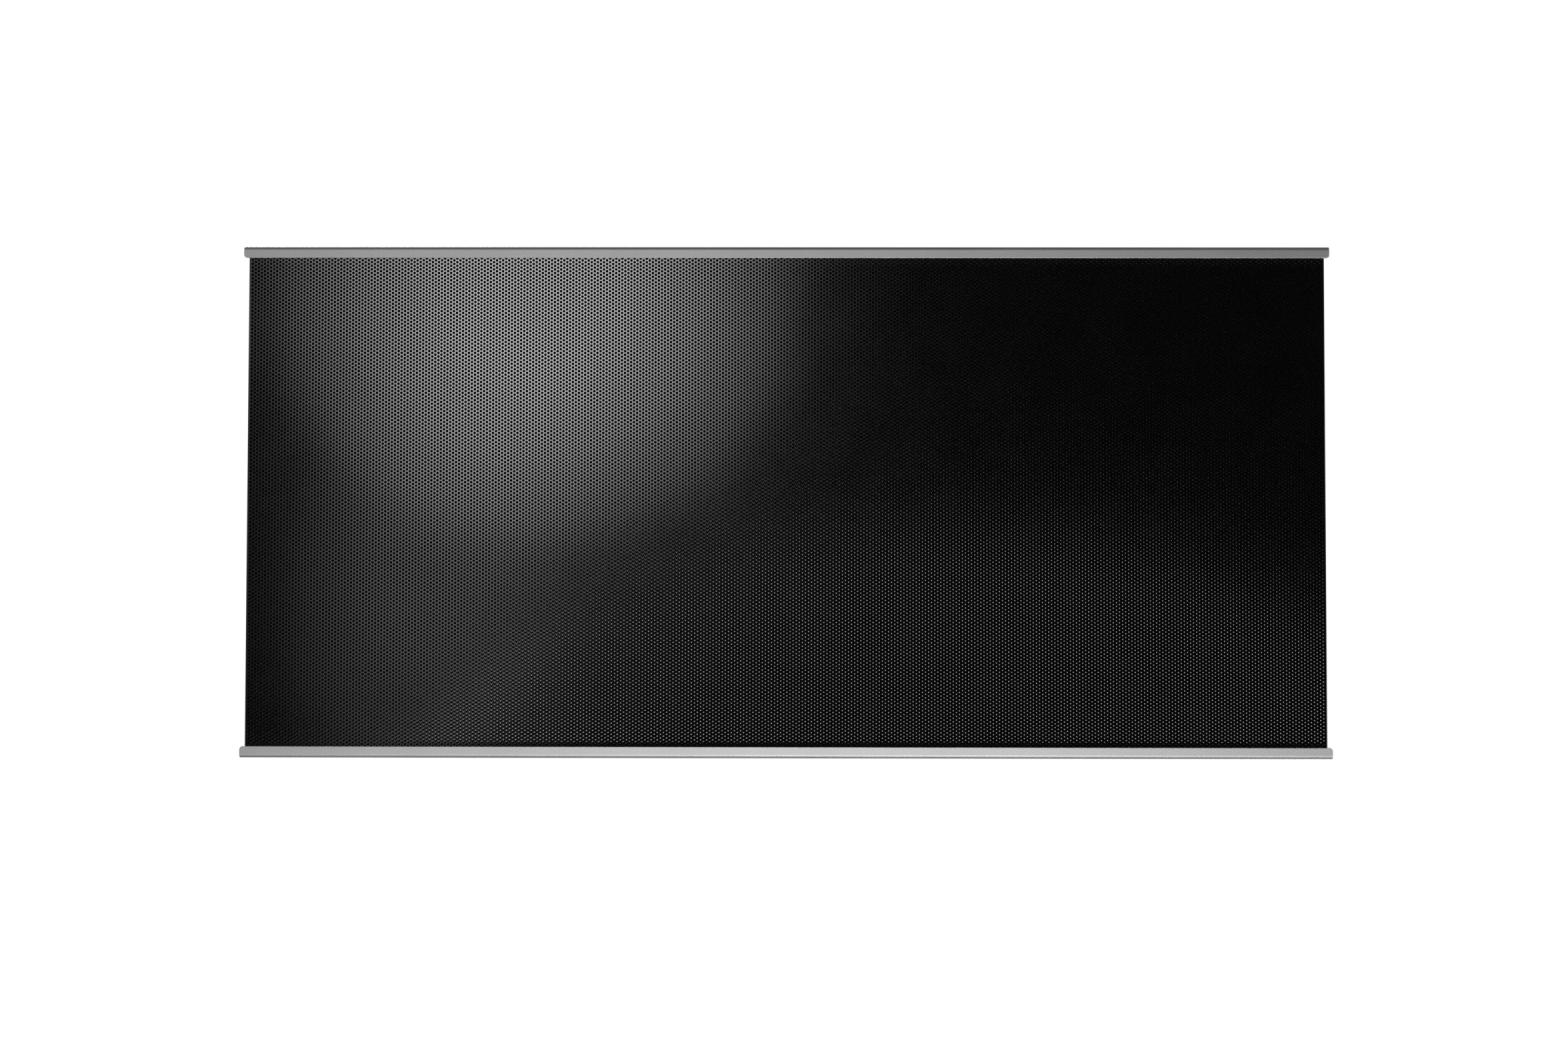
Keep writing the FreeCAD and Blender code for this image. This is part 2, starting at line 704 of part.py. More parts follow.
clamp_screw = screw_shape(size.clamp_thick + size.shelf_thick)
group("clamp_screws", [
    set_down(clamp_screw, x, clamp_screw_y * side, shelf_top_z + size.clamp_thick)
    for side in (-1, 1) for x in clamp_x
])

board_left = size.bay_length - inside_end
board_right = inside_end - size.board_end_gap
board_width = (screw_y - size.bolt_across - size.board_play) * 2
board_x = (board_left + board_right) / 2
reflector_z = shelf_top_z + size.clamp_thick
board_z = reflector_z + size.reflector_thick
keep(block(
    "reflector_sheet", board_right - board_left, board_width, size.reflector_thick, board_x, z=reflector_z
))
keep(block(
    "insulation_board", board_right - board_left, board_width,
    cover_z - size.board_headroom - board_z, board_x, z=board_z,
))


# Terminal box on the back, over the wiring bay

floor_z = cover_top_z + size.box_wall
box_top_z = cover_top_z + size.box_height
lid_z = box_top_z + size.gasket_thick
gland_z = cover_top_z + size.box_height / 2
post_x = size.box_length / 2 - size.box_wall - size.post_width / 2
post_y = size.box_width / 2 - size.box_wall - size.post_width / 2
lid_spots = [(post_x * along, post_y * across) for along in (-1, 1) for across in (-1, 1)]


def upright_corner(edge):
    """Whether an edge is one of the four outer upright edges of a box-sized piece."""
    return (
        runs_along(edge, "z")
        and near(abs(edge.CenterOfMass.x), size.box_length / 2)
        and near(abs(edge.CenterOfMass.y), size.box_width / 2)
    )


def box_slab(label, thick):
    """A rounded slab of the terminal box's outline."""
    body = new_body(label)
    flat = sketch_on(body, "XY_Plane")
    half_length = size.box_length / 2
    half_across = size.box_width / 2
    rectangle(flat, -half_length, -half_across, half_length, half_across)
    pad(body, flat, thick)
    round_edges(body, size.box_corner, upright_corner)
    return body


def inner_outline(sketch):
    """The box's cavity, stepped round its four corner posts."""
    long = size.box_length / 2 - size.box_wall
    wide = size.box_width / 2 - size.box_wall
    short = long - size.post_width
    slim = wide - size.post_width
    outline(sketch, [
        (-short, -wide), (short, -wide), (short, -slim), (long, -slim), (long, slim), (short, slim),
        (short, wide), (-short, wide), (-short, slim), (-long, slim), (-long, -slim), (-short, -slim),
    ])


def terminal_box():
    body = box_slab("terminal_box", size.box_height)
    cavity = sketch_on(body, "XY_Plane", size.box_height)
    inner_outline(cavity)
    pocket(body, cavity, size.box_height - size.box_wall)
    holes = sketch_on(body, "XY_Plane", size.box_height)
    circles(holes, lid_spots, screw_hole)
    pocket(body, holes, size.lid_grip + size.screw_tip)
    holes = sketch_on(body, "XY_Plane", size.box_wall)
    circles(holes, [(x - box_x, y) for x, y in box_screw_spots], screw_hole)
    circles(holes, [(lead_x - box_x, grommet_y)], grommet_hole)
    circles(holes, [(earth_x - box_x, earth_y)], earth_hole)
    pocket(body, holes, size.box_wall)
    holes = sketch_on(body, "XZ_Plane", -size.box_width / 2)
    circles(holes, [(zero, size.box_height / 2)], size.gland_thread + size.thread_play)
    pocket(body, holes, size.box_wall, reverse=True)
    place(body, box_x, z=cover_top_z)


def lid_and_gasket():
    gasket = box_slab("lid_gasket", size.gasket_thick)
    opening = sketch_on(gasket, "XY_Plane", size.gasket_thick)
    inner_outline(opening)
    pocket(gasket, opening, size.gasket_thick)
    place(gasket, box_x, z=box_top_z)
    lid = box_slab("box_lid", size.lid_thick)
    place(lid, box_x, z=lid_z)
    for body, thick in ((gasket, size.gasket_thick), (lid, size.lid_thick)):
        holes = sketch_on(body, "XY_Plane", thick)
        circles(holes, lid_spots, screw_hole)
        pocket(body, holes, thick)


block_x = box_x + size.block_offset
block_face_x = block_x - size.block_width / 2
pole_z = floor_z + size.block_height / 2
earth_x = block_face_x - size.lead_run - size.lead_bend
earth_y = -size.pole_pitch - size.lead_bend - size.lead_run - size.earth_radius
earth_hole = size.earth_radius + size.thread_play
terminal_box()
lid_and_gasket()
lid_screw = screw_shape(size.lid_thick + size.gasket_thick + size.lid_grip)
group("lid_screws", [set_down(lid_screw, box_x + x, y, lid_z + size.lid_thick) for x, y in lid_spots])
box_screw = screw_shape(size.box_wall + size.cover_thick + size.screw_tip)
group("box_screws", [set_down(box_screw, x, y, floor_z) for x, y in box_screw_spots])
keep(block("terminal_block", size.block_width, size.block_length, size.block_height, block_x, z=floor_z))
pole_screw = Part.makeCylinder(float(size.pole_radius), float(size.pole_head))
block_top_z = floor_z + size.block_height
group("terminal_screws", [
    set_down(pole_screw, block_x + size.block_width / 4 * along, size.pole_pitch * pole, block_top_z)
    for along in (-1, 1) for pole in (-1, 0, 1)
])
keep(rod("earth_stud", size.earth_radius, size.earth_height + size.box_wall, earth_x, earth_y, cover_top_z))
keep(cut(
    "earth_nut",
    hexagon("earth_nut_blank", size.earth_across, size.earth_nut_height, earth_x, earth_y, floor_z),
    rod("earth_nut_hole", earth_hole, size.earth_nut_height, earth_x, earth_y, floor_z),
))


# Grommet that carries the leads through the box floor and the cover

def lead_grommet():
    body = new_body("lead_grommet")
    profile = sketch_on(body, "XZ_Plane")
    through = size.box_wall + size.cover_thick
    lip = grommet_hole + size.grommet_lip
    sleeve = grommet_hole - size.screw_play
    outline(profile, [
        (size.grommet_bore, -size.grommet_wall), (lip, -size.grommet_wall), (lip, zero), (sleeve, zero),
        (sleeve, through), (lip, through), (lip, through + size.grommet_wall),
        (size.grommet_bore, through + size.grommet_wall),
    ])
    turned = body.newObject("PartDesign::Revolution", "revolution")
    turned.Profile = profile
    turned.ReferenceAxis = (profile, ["V_Axis"])
    turned.Angle = 360
    doc.recompute()
    place(body, lead_x, grommet_y, cover_z)


lead_grommet()


# Thermal cut-out in the wiring bay, and the leads

cutout_y = -size.blade_pitch / 2
blade_z = shelf_top_z + size.cutout_height
blade_top_z = blade_z + size.blade_length
keep(fuse("thermal_cutout", [
    rod("cutout_can", size.cutout_radius, size.cutout_height, lead_x, cutout_y, shelf_top_z),
    block("live_blade", size.blade_width, size.blade_thick, size.blade_length, lead_x, z=blade_z),
    block("link_blade", size.blade_width, size.blade_thick, size.blade_length, lead_x, link_y, blade_z),
]))


def lead(label, start, runs):
    """A round lead that leaves a point along straight runs joined by quarter-turn bends."""
    bend = float(size.lead_bend)
    spot = Vector(*[float(length) for length in start])
    edges = []
    for index, (heading, length) in enumerate(runs):
        end = spot + Vector(*heading) * float(length)
        edges.append(Part.LineSegment(spot, end).toShape())
        spot = end
        if index + 1 < len(runs):
            ahead = Vector(*heading) * bend
            aside = Vector(*runs[index + 1][0]) * bend
            middle = spot + ahead * math.sin(math.pi / 4) + aside * (1 - math.cos(math.pi / 4))
            spot = spot + ahead + aside
            edges.append(Part.Arc(end, middle, spot).toShape())
    path = Part.Wire(edges)
    first = Vector(*runs[0][0])
    section = Part.Wire(Part.makeCircle(float(size.lead_radius), path.Vertexes[0].Point, first))
    piece = doc.addObject("Part::Feature", label)
    piece.Shape = path.makePipeShell([section], True, False)
    return keep(piece)


pole_run = block_face_x - lead_x - size.lead_bend
live_fall = pole_z - size.lead_bend - blade_top_z
neutral_fall = pole_z - size.lead_bend - (shelf_top_z + size.terminal_height)
link_fall = blade_top_z + size.link_rise - (shelf_top_z + size.terminal_height)
lead("live_lead", (block_face_x, zero, pole_z), [((-1, 0, 0), pole_run), ((0, 0, -1), live_fall)])
lead("neutral_lead", (block_face_x, size.pole_pitch, pole_z), [
    ((-1, 0, 0), pole_run), ((0, 0, -1), neutral_fall),
])
lead("earth_lead", (block_face_x, -size.pole_pitch, pole_z), [
    ((-1, 0, 0), size.lead_run), ((0, -1, 0), size.lead_run),
])
lead("cutout_lead", (lead_x, link_y, blade_top_z), [
    ((0, 0, 1), size.link_rise),
    ((-1, 0, 0), size.link_reach - size.lead_bend * 2),
    ((0, 0, -1), link_fall),
])


# Cable gland through the box wall, pointing along Y

gland_face_y = size.box_width / 2
gland_bore = size.gland_thread - size.gland_wall
stub_y = gland_face_y + size.gland_collar
inner_end_y = gland_face_y - size.box_wall - size.locknut_thick - size.thread_play
along_y = (Vector(1, 0, 0), -90)


def gland_rod(label, radius, length, y):
    return rod(label, radius, length, box_x, y, gland_z, *along_y)


def gland_hexagon(label, across, length, y):
    return hexagon(label, across, length, box_x, y, gland_z, *along_y)


nut_length = size.gland_stub + size.gland_nut_wall
body_length = stub_y + size.gland_stub - inner_end_y
keep(cut(
    "gland_body",
    fuse("gland_body_blank", [
        gland_rod("gland_body_thread", size.gland_thread, body_length, inner_end_y),
        gland_hexagon("gland_body_collar", size.gland_across, size.gland_collar, gland_face_y),
    ]),
    gland_rod("gland_body_bore", gland_bore, body_length, inner_end_y),
))
keep(cut(
    "gland_seal",
    gland_rod("gland_seal_blank", gland_bore, size.gland_stub, stub_y),
    gland_rod("gland_seal_hole", size.cable_radius, size.gland_stub, stub_y),
))
keep(cut(
    "gland_nut",
    gland_hexagon("gland_nut_blank", size.gland_across, nut_length, stub_y),
    gland_rod("gland_nut_thread", size.gland_thread + size.thread_play, size.gland_stub, stub_y),
    gland_rod("gland_nut_mouth", size.cable_radius + size.mouth_play, nut_length, stub_y),
))
locknut_y = gland_face_y - size.box_wall - size.locknut_thick
keep(cut(
    "gland_locknut",
    gland_hexagon("gland_locknut_blank", size.locknut_across, size.locknut_thick, locknut_y),
    gland_rod("gland_locknut_hole", size.gland_thread + size.thread_play, size.locknut_thick, locknut_y),
))


# Cross bars from rail to rail, each with an ear for the pivot and the lock

def cross_bar(label, side):
    body = new_body(label)
    flat = sketch_on(body, "XY_Plane")
    bar_end = half_width - size.bar_end_gap
    rectangle(flat, -size.bar_width, -bar_end, zero, bar_end)
    pad(body, flat, size.bar_thick)
    lock_rise = size.pivot_rise + size.slot_radius
    ear = sketch_on(body, "YZ_Plane")
    outline(ear, [
        (-size.ear_half, zero), (size.ear_half, zero), (size.ear_half, size.pivot_rise),
        (size.ear_top, lock_rise), (-size.ear_top, lock_rise), (-size.ear_half, size.pivot_rise),
    ])
    pad(body, ear, size.bar_thick, reverse=True)
    top = sketch_on(body, "YZ_Plane")
    circles(top, [(zero, lock_rise)], size.ear_top)
    pad(body, top, size.bar_thick, reverse=True)
    holes = sketch_on(body, "YZ_Plane")
    circles(holes, [(zero, size.pivot_rise)], size.pivot_radius + size.pivot_fit)
    circles(holes, [(zero, lock_rise)], size.stud_radius + size.thread_play)
    pocket(body, holes, size.bar_thick)
    holes = sketch_on(body, "XY_Plane", size.bar_thick)
    circles(holes, [
        (size.bar_screw_pitch * half - size.bar_width / 2, screw_y * across)
        for half in (-0.5, 0.5) for across in (-1, 1)
    ], bolt_hole)
    pocket(body, holes, size.bar_thick)
    place(body, bracket_span / 2 * side, z=back_z, axis=Vector(0, 0, 1), angle=90 * (1 - side))


cross_bar("left_cross_bar", -1)
cross_bar("right_cross_bar", 1)
bar_spots = [(x, screw_y * side) for side in (-1, 1) for x in bar_holes_x]
bar_screw = bolt_shape(
    size.bolt_radius,
    size.bar_thick + size.flange_thick + size.cover_thick + size.bolt_nut + size.screw_tip,
    size.bolt_across,
    size.bolt_head,
)
group("bar_screws", [set_down(bar_screw, x, y, back_z + size.bar_thick) for x, y in bar_spots])
bar_nut = nut_shape(size.bolt_across, size.bolt_radius + size.thread_play, size.bolt_nut)
group("bar_nuts", [set_down(bar_nut, x, y, cover_z - size.bolt_nut) for x, y in bar_spots])


# Ceiling brackets, each a folded sheet: an arm down to the pivot and a slotted top plate

def ceiling_bracket(label, side):
    body = new_body(label)
    top = size.pivot_drop
    arm = sketch_on(body, "YZ_Plane")
    outline(arm, [
        (-size.arm_half, zero), (size.arm_half, zero), (size.arm_half, top - size.gusset_drop),
        (size.foot_half, top - size.arm_thick), (size.foot_half, top), (-size.foot_half, top),
        (-size.foot_half, top - size.arm_thick), (-size.arm_half, top - size.gusset_drop),
    ])
    pad(body, arm, size.arm_thick)
    end = sketch_on(body, "YZ_Plane")
    circles(end, [(zero, zero)], size.arm_half)
    pad(body, end, size.arm_thick)
    foot = sketch_on(body, "XY_Plane", top)
    rectangle(foot, zero, -size.foot_half, size.foot_reach, size.foot_half)
    pad(body, foot, size.arm_thick, reverse=True)
    round_edges(body, size.foot_corner, lambda edge: (
        runs_along(edge, "z") and near(edge.CenterOfMass.x, size.foot_reach)
    ))
    round_edges(body, size.foot_bend, lambda edge: (
        runs_along(edge, "y")
        and near(edge.CenterOfMass.x, size.arm_thick)
        and near(edge.CenterOfMass.z, top - size.arm_thick)
    ))
    slots = sketch_on(body, "XY_Plane", top)
    for across in (-1, 1):
        reach = size.slot_length / 2 - size.slot_half_width
        y = size.slot_pitch / 2 * across
        long_hole(slots, (size.slot_reach - reach, y), (size.slot_reach + reach, y), size.slot_half_width)
    pocket(body, slots, size.arm_thick)
    hole = sketch_on(body, "YZ_Plane")
    circles(hole, [(zero, zero)], size.pivot_radius + size.thread_play)
    pocket(body, hole, size.arm_thick, reverse=True)
    lock_slot(body)
    place(body, arm_x * side, z=pivot_z, axis=Vector(0, 0, 1), angle=90 * (1 - side))


def lock_slot(body):
    """The arc that the lock stud sweeps round the pivot, with round ends."""
    half = size.stud_radius + size.stud_play
    section = sketch_on(body, "XZ_Plane")
    rectangle(section, zero, size.slot_radius - half, size.arm_thick, size.slot_radius + half)
    sweep = body.newObject("PartDesign::Groove", "groove")
    sweep.Profile = section
    sweep.ReferenceAxis = (section, ["H_Axis"])
    sweep.Midplane = True
    bind(sweep, "Angle", size.slot_angle * 2)
    doc.recompute()
    turn = math.radians(float(size.slot_angle))
    ends = sketch_on(body, "YZ_Plane")
    circles(ends, [
        (size.slot_radius * math.sin(turn) * side, size.slot_radius * math.cos(turn)) for side in (-1, 1)
    ], half)
    pocket(body, ends, size.arm_thick, reverse=True)


arm_x = bracket_span / 2 + size.pivot_play + size.friction_thick
arm_outer_x = arm_x + size.arm_thick
ear_inner_x = bracket_span / 2 - size.bar_thick
ceiling_bracket("left_ceiling_bracket", -1)
ceiling_bracket("right_ceiling_bracket", 1)


# Pivot bolts with their nuts and washers, and the lock studs with their knobs

def set_along_x(shape, side, x, z):
    """A copy of a shape whose Z axis points outwards along X."""
    return set_down(shape, x * side, zero, z, Vector(0, 1, 0), 90 * side)


pivot_grip = size.washer_thick * 2 + arm_outer_x - ear_inner_x + size.pivot_play
pivot_bolt = bolt_shape(
    size.pivot_radius, pivot_grip + size.pivot_nut + size.pivot_tip, size.pivot_across, size.pivot_head
)
bolt_seat_x = arm_outer_x + size.washer_thick
inner_washer_x = ear_inner_x - size.pivot_play - size.washer_thick
for name, side in (("left", -1), ("right", 1)):
    group(f"{name}_pivot_bolt", [set_along_x(pivot_bolt, side, bolt_seat_x, pivot_z)])
washer = ring_shape(size.washer_radius, size.pivot_radius + size.thread_play, size.washer_thick)
group("pivot_washers", [
    set_along_x(washer, side, x, pivot_z) for side in (-1, 1) for x in (arm_outer_x, inner_washer_x)
])
pivot_nut = nut_shape(size.pivot_across, size.pivot_radius + size.thread_play, size.pivot_nut)
group("pivot_nuts", [
    set_along_x(pivot_nut, side, inner_washer_x - size.pivot_nut, pivot_z) for side in (-1, 1)
])
friction_washer = ring_shape(
    size.friction_radius, size.pivot_radius + size.thread_play, size.friction_thick
)
group("friction_washers", [
    set_along_x(friction_washer, side, arm_x - size.friction_thick, pivot_z) for side in (-1, 1)
])

lock_z = pivot_z + size.slot_radius
knob_x = arm_outer_x + size.knob_gap
lock_nut = nut_shape(size.lock_across, size.stud_radius + size.thread_play, size.lock_nut)
group("lock_nuts", [
    set_along_x(lock_nut, side, ear_inner_x - size.lock_nut, lock_z) for side in (-1, 1)
])


def lock_knob(label, side):
    body = new_body(label)
    collar = sketch_on(body, "XY_Plane")
    circles(collar, [(zero, zero)], size.collar_radius)
    pad(body, collar, size.collar_height)
    grip = sketch_on(body, "XY_Plane", size.collar_height)
    circles(grip, [(zero, zero)], size.grip_radius)
    pad(body, grip, size.grip_height)
    hollow = sketch_on(body, "XY_Plane", size.collar_height)
    scallop_x = size.grip_radius + size.scallop_radius - size.scallop_bite
    circles(hollow, [(scallop_x, zero)], size.scallop_radius)
    bite = pocket(body, hollow, size.grip_height, reverse=True)
    turns = body.newObject("PartDesign::PolarPattern", "hollows")
    turns.Originals = [bite]
    turns.Axis = (hollow, ["N_Axis"])
    turns.Angle = 360
    turns.Occurrences = int(float(size.scallops))
    body.Tip = turns
    doc.recompute()
    top = size.collar_height + size.grip_height
    round_edges(body, size.grip_edge, lambda edge: (
        near(edge.BoundBox.ZMin, top) and near(edge.BoundBox.ZMax, top)
    ))
    seat = sketch_on(body, "XY_Plane")
    circles(seat, [(zero, zero)], size.stud_radius)
    pocket(body, seat, size.stud_seat, reverse=True)
    place(body, knob_x * side, z=lock_z, axis=Vector(0, 1, 0), angle=90 * side)


stud_length = size.stud_seat + knob_x - ear_inner_x + size.lock_nut + size.stud_tip
stud_x = ear_inner_x - size.lock_nut - size.stud_tip
for name, side in (("left", -1), ("right", 1)):
    lock_knob(f"{name}_lock_knob", side)
    keep(rod(
        f"{name}_lock_stud", size.stud_radius, stud_length, stud_x * side, z=lock_z,
        axis=Vector(0, 1, 0), angle=90 * side,
    ))


# Check every object, then write each sub-part to its own file

doc.recompute()
for thing in doc.Objects:
    if {"Invalid", "Error"} & set(thing.State):
        raise ValueError(f"{thing.Label} failed: {thing.State}")
os.makedirs("parts", exist_ok=True)
for piece in pieces:
    if piece.Shape.isNull() or not piece.Shape.isValid():
        raise ValueError(f"{piece.Label} has no valid shape")
    piece.Shape.exportStep(f"parts/{piece.Label}.step")
print(f"{len(pieces)} sub-parts written")
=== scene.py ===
import json
import math

import bpy
from mathutils import Matrix, Vector


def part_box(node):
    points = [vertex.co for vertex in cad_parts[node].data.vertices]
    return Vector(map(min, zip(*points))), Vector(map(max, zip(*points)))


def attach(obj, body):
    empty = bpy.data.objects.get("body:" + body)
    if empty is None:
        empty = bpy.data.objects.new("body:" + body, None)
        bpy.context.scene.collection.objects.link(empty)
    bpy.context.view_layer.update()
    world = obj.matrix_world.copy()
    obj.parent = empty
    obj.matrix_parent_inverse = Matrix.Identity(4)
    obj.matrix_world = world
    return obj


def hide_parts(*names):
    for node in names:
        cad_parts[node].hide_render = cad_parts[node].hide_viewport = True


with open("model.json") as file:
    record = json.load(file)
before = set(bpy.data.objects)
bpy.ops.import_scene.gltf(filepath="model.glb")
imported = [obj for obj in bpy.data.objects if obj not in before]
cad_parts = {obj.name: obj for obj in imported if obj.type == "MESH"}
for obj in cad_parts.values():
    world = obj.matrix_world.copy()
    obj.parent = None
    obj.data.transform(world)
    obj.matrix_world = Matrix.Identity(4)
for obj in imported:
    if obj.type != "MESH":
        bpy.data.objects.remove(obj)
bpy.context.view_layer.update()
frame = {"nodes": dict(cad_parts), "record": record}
print("frame loaded,", len(frame["nodes"]), "nodes")

scene = bpy.context.scene
scene.view_settings.view_transform = "Standard"
scene.cycles.use_denoising = False  # it wipes the dimples away, as each is only two pixels wide


# Camera: 3 m under the face, looking up as the photograph does
photoCamera = {
    "place": (0.0207, 0.1551, -3.214),
    "aim": (-0.0017, 0.0229, -0.214),
    "rightward": (0.99997, -0.00146, 0.00743),
    "lens": 63.15,  # mm
    "frameWidth": 36.0,  # mm
}


def addCamera(view):
    place = Vector(view["place"])
    back = (place - Vector(view["aim"])).normalized()
    right = Vector(view["rightward"])
    right = (right - back * back.dot(right)).normalized()
    up = back.cross(right)
    clearPick()
    bpy.ops.object.camera_add()
    camera = bpy.context.object
    camera.name = "photo_camera"
    camera.data.lens = view["lens"]
    camera.data.sensor_width = view["frameWidth"]
    turned = Matrix((right, up, back)).transposed().to_4x4()
    camera.matrix_world = Matrix.Translation(place) @ turned
    scene.camera = camera


def clearPick():
    bpy.ops.object.select_all(action="DESELECT")


# Lamps: a softbox with a weaker skirt, mirrored at the upper left of the face, a low lamp that sparkles in
# the dimples, one for the lower rail, and two above the back. The glow is a lamp's brightness in watts per
# square metre and steradian. Discs of different sizes share it where a lamp has a soft edge.
studioLamps = {
    "softbox": {
        "place": (-0.47, -0.5, -2.21), "aim": (-0.28, -0.23, -0.21), "size": (0.67, 0.67),
        "glow": 7.5, "discs": (0.64, 1.0, 1.36),
    },
    "softboxSkirt": {
        "place": (-0.64, -0.03, -2.21), "aim": (-0.37, 0.05, -0.21), "size": (0.68, 0.4),
        "glow": 1.5, "discs": (0.75, 1.25), "reach": "face",
    },
    "sparkleLamp": {
        "place": (0.22, 1.2, -0.386), "aim": (0.22, 0.0, -0.386), "size": (1.7, 0.7),
        "glow": 6.0, "reach": "face",
    },
    "railLamp": {
        "place": (0.2, 1.2, -2.2), "aim": (0.1, 0.27, -0.21), "size": (0.8, 0.6),
        "glow": 33.0, "reach": "rest",
    },
    "topLight": {
        "place": (-1.3, -1.5, 1.7), "aim": (0.0, 0.0, -0.15), "size": (1.4, 1.4),
        "glow": 8.0, "reach": "rest",
    },
    "topFill": {
        "place": (1.6, 1.9, 1.8), "aim": (0.0, 0.0, -0.15), "size": (1.4, 1.4),
        "glow": 4.5, "reach": "rest",
    },
}
# one lamp at each corner for the rails' walls
cornerLamp = {
    "outX": 2.65, "outY": 1.5, "height": 0.05, "aim": (0.0, 0.0, -0.19), "size": (2.4, 1.6), "glow": 2.3,
}
cornerSides = {
    "frontLeftLamp": (-1, 1),
    "frontRightLamp": (1, 1),
    "rearLeftLamp": (-1, -1),
    "rearRightLamp": (1, -1),
}
for cornerName, (sideX, sideY) in cornerSides.items():
    studioLamps[cornerName] = {
        "place": (cornerLamp["outX"] * sideX, cornerLamp["outY"] * sideY, cornerLamp["height"]),
        "aim": cornerLamp["aim"], "size": cornerLamp["size"], "glow": cornerLamp["glow"], "reach": "rails",
    }
# one lamp beyond each folded end, as bright as the pale floor that the enamel would mirror
bounceLamp = {
    "outX": 3.0, "height": -1.9, "aimX": 0.6, "aimHeight": -0.19, "size": (9.0, 3.4), "glow": 0.9,
}
for bounceName, sideX in (("leftBounce", -1), ("rightBounce", 1)):
    studioLamps[bounceName] = {
        "place": (bounceLamp["outX"] * sideX, 0.0, bounceLamp["height"]),
        "aim": (bounceLamp["aimX"] * sideX, 0.0, bounceLamp["aimHeight"]),
        "size": bounceLamp["size"], "glow": bounceLamp["glow"], "reach": "folds",
    }
discGap = 0.01  # between the discs of one lamp
# what a flagged lamp reaches: the emitter face, the rails or the folded ends alone, or all but the face
lampReach = {}
for reachName in ("face", "rails", "folds", "rest"):
    lampReach[reachName] = bpy.data.collections.new(f"{reachName}_lit")


def addLamp(name, lamp):
    heading = (Vector(lamp["aim"]) - Vector(lamp["place"])).normalized()
    turn = heading.to_track_quat("-Z", "Y").to_euler()
    discs = lamp.get("discs", (1.0,))
    for number, share in enumerate(discs):
        wide, tall = (side * share for side in lamp["size"])
        place = Vector(lamp["place"]) + heading * discGap * number
        clearPick()
        bpy.ops.object.light_add(type="AREA", location=place, rotation=turn)
        light = bpy.context.object
        light.name = f"{name}{number + 1}"
        light.data.shape = "ELLIPSE"
        light.data.size = wide
        light.data.size_y = tall
        light.data.energy = lamp["glow"] / len(discs) * math.pi * (math.pi / 4 * wide * tall)
        light.visible_camera = False
        if "reach" in lamp:
            light.light_linking.receiver_collection = lampReach[lamp["reach"]]
        if lamp.get("reach") == "face":
            light.light_linking.blocker_collection = lampReach["face"]


# Colour and node helpers

def linear(code):
    steps = [int(code[place:place + 2], 16) / 255 for place in (0, 2, 4)]
    rgb = [step / 12.92 if step <= 0.04045 else ((step + 0.055) / 1.055) ** 2.4 for step in steps]
    return rgb + [1.0]


def perMm(mm):
    return 1000.0 / mm  # texture scale for a feature of that size, as objects are in metres


def addNode(tree, kind, sockets, **settings):
    node = tree.nodes.new("ShaderNode" + kind)
    for key, value in settings.items():
        setattr(node, key, value)
    for key, value in sockets.items():
        if isinstance(value, bpy.types.NodeSocket):
            tree.links.new(value, node.inputs[key])
        else:
            node.inputs[key].default_value = value
    return node


def startFinish(name):
    finish = bpy.data.materials.new(name)
    finish.use_nodes = True
    tree = finish.node_tree
    tree.nodes.clear()
    return finish, tree, addNode(tree, "TexCoord", {}).outputs["Object"]


def endFinish(tree, shader):
    addNode(tree, "OutputMaterial", {"Surface": shader.outputs["BSDF"]})


# World: white behind the object, bright overhead, and dark underfoot, so that the face mirrors a dark room
studioWorld = {"overhead": 0.95, "underfoot": 0.004, "fadeFrom": 0.12, "fadeTo": 0.7}


def buildWorld(room):
    world = bpy.data.worlds.new("studio")
    world.use_nodes = True
    scene.world = world
    world.cycles.sampling_method = "NONE"  # the samples go to the lamps, as the world is smooth
    tree = world.node_tree
    tree.nodes.clear()
    heading = addNode(tree, "TexCoord", {}).outputs["Generated"]
    height = addNode(tree, "SeparateXYZ", {"Vector": heading}).outputs["Z"]
    light = addNode(tree, "MapRange", {
        "Value": height, "From Min": room["fadeFrom"], "From Max": room["fadeTo"],
        "To Min": room["underfoot"], "To Max": room["overhead"],
    }, interpolation_type="SMOOTHSTEP").outputs["Result"]
    seen = addNode(tree, "LightPath", {}).outputs["Is Camera Ray"]
    strength = addNode(tree, "Mix", {"Factor": seen, "A": light, "B": 1.0}).outputs["Result"]
    shine = addNode(tree, "Background", {"Color": (1, 1, 1, 1), "Strength": strength})
    addNode(tree, "OutputWorld", {"Surface": shine.outputs["Background"]})


# Floor, far below the heater, and lifted towards white for the camera
paleFloor = {"height": -3.45, "size": 160.0, "lift": 0.18}


